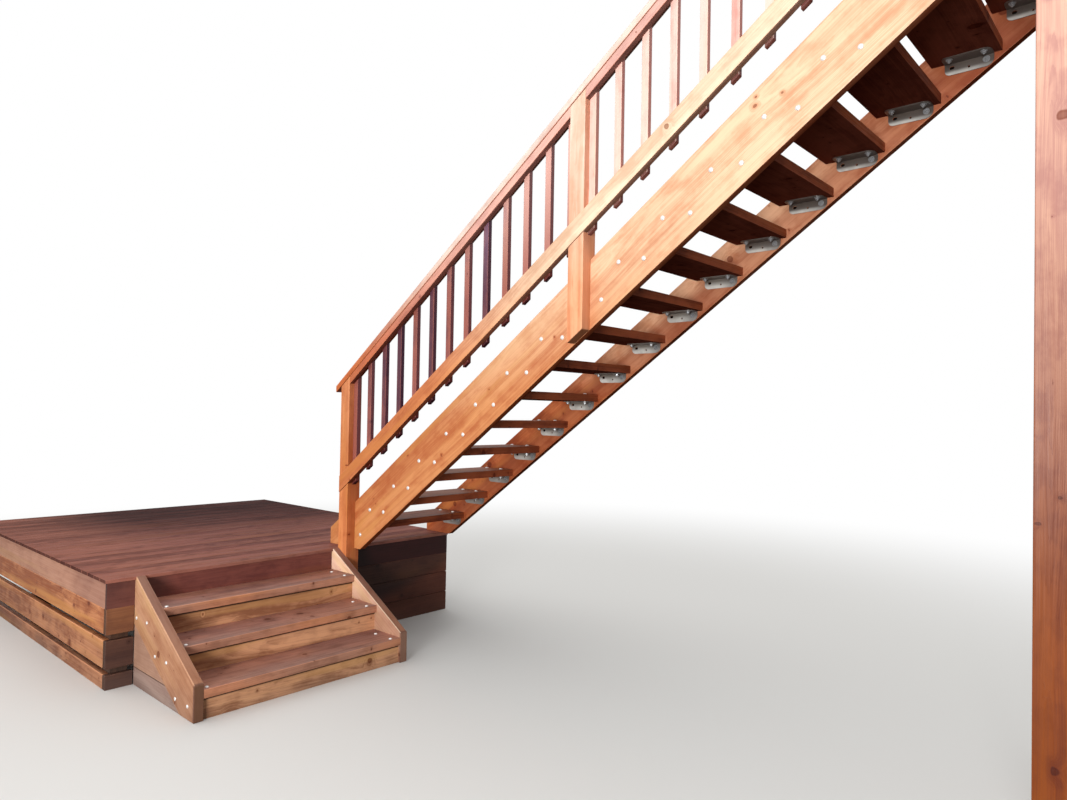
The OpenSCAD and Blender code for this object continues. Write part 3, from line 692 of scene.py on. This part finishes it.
head_r = 0.012
head_edge = 0.0024
head_domes = ((0.0022, 0.86), (0.0014, 0.66), (0.0006, 0.45))
bpy.ops.mesh.primitive_cylinder_add(
    vertices=14, radius=head_r, depth=head_edge, location=(0, 0, head_edge / 2))
cup_head = bpy.context.object
bpy.ops.object.mode_set(mode="EDIT")
bpy.ops.mesh.select_all(action="DESELECT")
bpy.ops.object.mode_set(mode="OBJECT")
for face in cup_head.data.polygons:
    face.select = face.normal.z > 0.9
bpy.ops.object.mode_set(mode="EDIT")
for lift, narrow in head_domes:
    bpy.ops.mesh.extrude_region_move(TRANSFORM_OT_translate={"value": (0, 0, lift)})
    bpy.ops.transform.resize(value=(narrow, narrow, 1))
bpy.ops.object.mode_set(mode="OBJECT")
bpy.ops.object.transform_apply(location=True)
bpy.ops.object.shade_smooth_by_angle(angle=math.radians(50))
cup_head.data.materials.append(shells[0])

washer_r = 0.015
washer_t = 0.0025
washer_ease = 0.0005
nut_r = 0.0105
nut_h = 0.0085
nut_ease = 0.0008
shank_r = 0.005
shank_h = 0.006
shank_middle = 0.0135
bpy.ops.mesh.primitive_cylinder_add(
    vertices=16, radius=washer_r, depth=washer_t, location=(0, 0, washer_t / 2))
nut = bpy.context.object
bpy.ops.object.mode_set(mode="EDIT")
bpy.ops.mesh.bevel(offset=washer_ease, segments=1)
bpy.ops.mesh.select_all(action="DESELECT")
bpy.ops.mesh.primitive_cylinder_add(
    vertices=6, radius=nut_r, depth=nut_h, location=(0, 0, washer_t + nut_h / 2))
bpy.ops.mesh.bevel(offset=nut_ease, segments=1)
bpy.ops.mesh.select_all(action="DESELECT")
bpy.ops.mesh.primitive_cylinder_add(
    vertices=10, radius=shank_r, depth=shank_h, location=(0, 0, shank_middle))
bpy.ops.mesh.bevel(offset=nut_ease, segments=1)
bpy.ops.object.mode_set(mode="OBJECT")
bpy.ops.object.transform_apply(location=True)
nut.data.materials.append(shells[1])

# Painted shade in the empty bolt holes: each bracket also has a slot and a small hole with no
# bolt in them, and a thin near-black disc on the timber behind each stands for the shade in it.
hole_shade = bpy.data.materials.new("painted_hole_shade")
hole_shade.use_nodes = True
tree = hole_shade.node_tree
plugs = {"Vector": add_node(tree, "TexCoord", {}, out=3), "Scale": 400.0, "Detail": 2.0}
speckle = add_node(tree, "TexNoise", plugs)
shade_coat = tree.nodes["Principled BSDF"]
tree.links.new(paint(tree, speckle, tint(16, 11, 9), tint(34, 22, 16)), shade_coat.inputs["Base Color"])
shade_coat.inputs["Roughness"].default_value = 0.95
shade_coat.inputs["Specular IOR Level"].default_value = 0.05
shade_disc_t = 0.0008
shade_disc_ease = 0.0003
slot_r = 0.0072
pin_r = 0.0046
shade_discs = []
for radius in (slot_r, pin_r):
    bpy.ops.mesh.primitive_cylinder_add(
        vertices=16, radius=radius, depth=shade_disc_t, location=(0, 0, shade_disc_t / 2))
    shade_disc = bpy.context.object
    bpy.ops.object.mode_set(mode="EDIT")
    bpy.ops.mesh.bevel(offset=shade_disc_ease, segments=1)
    bpy.ops.object.mode_set(mode="OBJECT")
    bpy.ops.object.transform_apply(location=True)
    shade_disc.data.materials.append(hole_shade)
    shade_discs.append(shade_disc)


# Fixings of the flight: two bolts through the outer stringer at each tread with their nuts on the
# bracket, one nut and one empty slot on each wall bracket, and two bolts down through each end of
# each tread.
def fasten(name, pattern, places, facing, size=1.0):
    """Copies a fastener to each place, with its head towards facing, as one piece."""
    turn = Vector((0, 0, 1)).rotation_difference(Vector(facing)).to_matrix().to_4x4()
    turn = turn @ Matrix.Scale(size, 4)
    copies = []
    for place in places:
        one = pattern.copy()
        one.data = pattern.data.copy()
        one.data.transform(Matrix.Translation(place) @ turn)
        bpy.context.scene.collection.objects.link(one)
        copies.append(one)
    bpy.ops.object.select_all(action="DESELECT")
    for one in copies:
        one.select_set(True)
    bpy.context.view_layer.objects.active = copies[0]
    bpy.ops.object.join()
    piece = bpy.context.object
    piece.name = name
    bpy.ops.object.select_all(action="DESELECT")
    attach(piece, "root")


outer_low, outer_high, _ = corners("outer_stringer")
wall_low, _, _ = corners("wall_stringer")
post_boxes = [corners(name) for name in ("newel_post", "mid_post")]
plate_t = 0.005
# From a tread's front edge back to the middle of its bracket, and from there to each bolt
outer_back = 0.142
outer_gap = 0.0725
wall_back = 0.158
wall_gap = 0.070
# From the underside of a tread down to the holes, and from a stringer out to the tread's bolts
bolt_down = 0.038
slot_down = 0.023
pin_down = 0.036
slot_half = 0.003
bolt_out = 0.057
stringer_bolts, top_bolts, outer_nuts, wall_nuts, under_nuts, slots, pins = ([] for _ in range(7))
for name in tread_names:
    low, high, _ = corners(name)
    for way in (-1, 1):
        y = high.y - outer_back + way * outer_gap
        z = low.z - bolt_down
        clear_of_posts = all(abs(y - middle.y) > (post_high.y - post_low.y) / 2 + head_r
                             for post_low, post_high, middle in post_boxes)
        if clear_of_posts:
            stringer_bolts.append((outer_low.x, y, z))
        outer_nuts.append((outer_high.x + plate_t, y, z))
        under_nuts.append((outer_high.x + bolt_out, y, low.z - plate_t))
        top_bolts.append((outer_high.x + bolt_out, y, high.z))
        y = high.y - wall_back + way * wall_gap
        under_nuts.append((wall_low.x - bolt_out, y, low.z - plate_t))
        top_bolts.append((wall_low.x - bolt_out, y, high.z))
    bracket_y = high.y - wall_back
    wall_nuts.append((wall_low.x - plate_t, bracket_y - wall_gap, low.z - slot_down))
    for way in (-slot_half, slot_half):
        slots.append((wall_low.x, bracket_y + wall_gap + way, low.z - slot_down))
    pins.append((wall_low.x, bracket_y, low.z - pin_down))
fasten("stringer_bolts", cup_head, stringer_bolts, (-1, 0, 0))
fasten("tread_bolts", cup_head, top_bolts, (0, 0, 1))
fasten("outer_bracket_nuts", nut, outer_nuts, (1, 0, 0))
fasten("wall_bracket_nuts", nut, wall_nuts, (-1, 0, 0))
fasten("under_tread_nuts", nut, under_nuts, (0, 0, -1))
fasten("wall_slot_shade", shade_discs[0], slots, (-1, 0, 0))
fasten("wall_pin_shade", shade_discs[1], pins, (-1, 0, 0))

# Fixings of the box steps: smaller cup-head bolts, two down through each end of each tread and
# two in from the side through each cheek below it.
left_low, _, _ = corners("left_cheek")
_, right_high, _ = corners("right_cheek")
# From a tread's front edge back to its two rows of bolts, and from its ends in to them
bolt_rows = (0.028, 0.174)
left_in = 0.026
right_in = 0.056
# The front bolt of the cheek's top pair, and from there to the next pair, across it and down
top_pair_y = -0.126
pair_run = 0.255
pair_gap = 0.140
pair_down = 0.085
step_top_bolts, left_bolts, right_bolts = [], [], []
for from_top, name in zip((2, 1, 0), step_treads):
    low, high, _ = corners(name)
    for row in bolt_rows:
        step_top_bolts.append((low.x + left_in, low.y + row, high.z))
        step_top_bolts.append((high.x - right_in, low.y + row, high.z))
    for gap in (0.0, pair_gap):
        y = top_pair_y - from_top * pair_run + gap
        left_bolts.append((left_low.x, y, high.z - pair_down))
        right_bolts.append((right_high.x, y, high.z - pair_down))
fasten("step_bolts", cup_head, step_top_bolts, (0, 0, 1), size=0.85)
fasten("left_cheek_bolts", cup_head, left_bolts, (-1, 0, 0), size=0.75)
fasten("right_cheek_bolts", cup_head, right_bolts, (1, 0, 0), size=0.75)
for pattern in (cup_head, nut, *shade_discs):
    bpy.data.objects.remove(pattern)
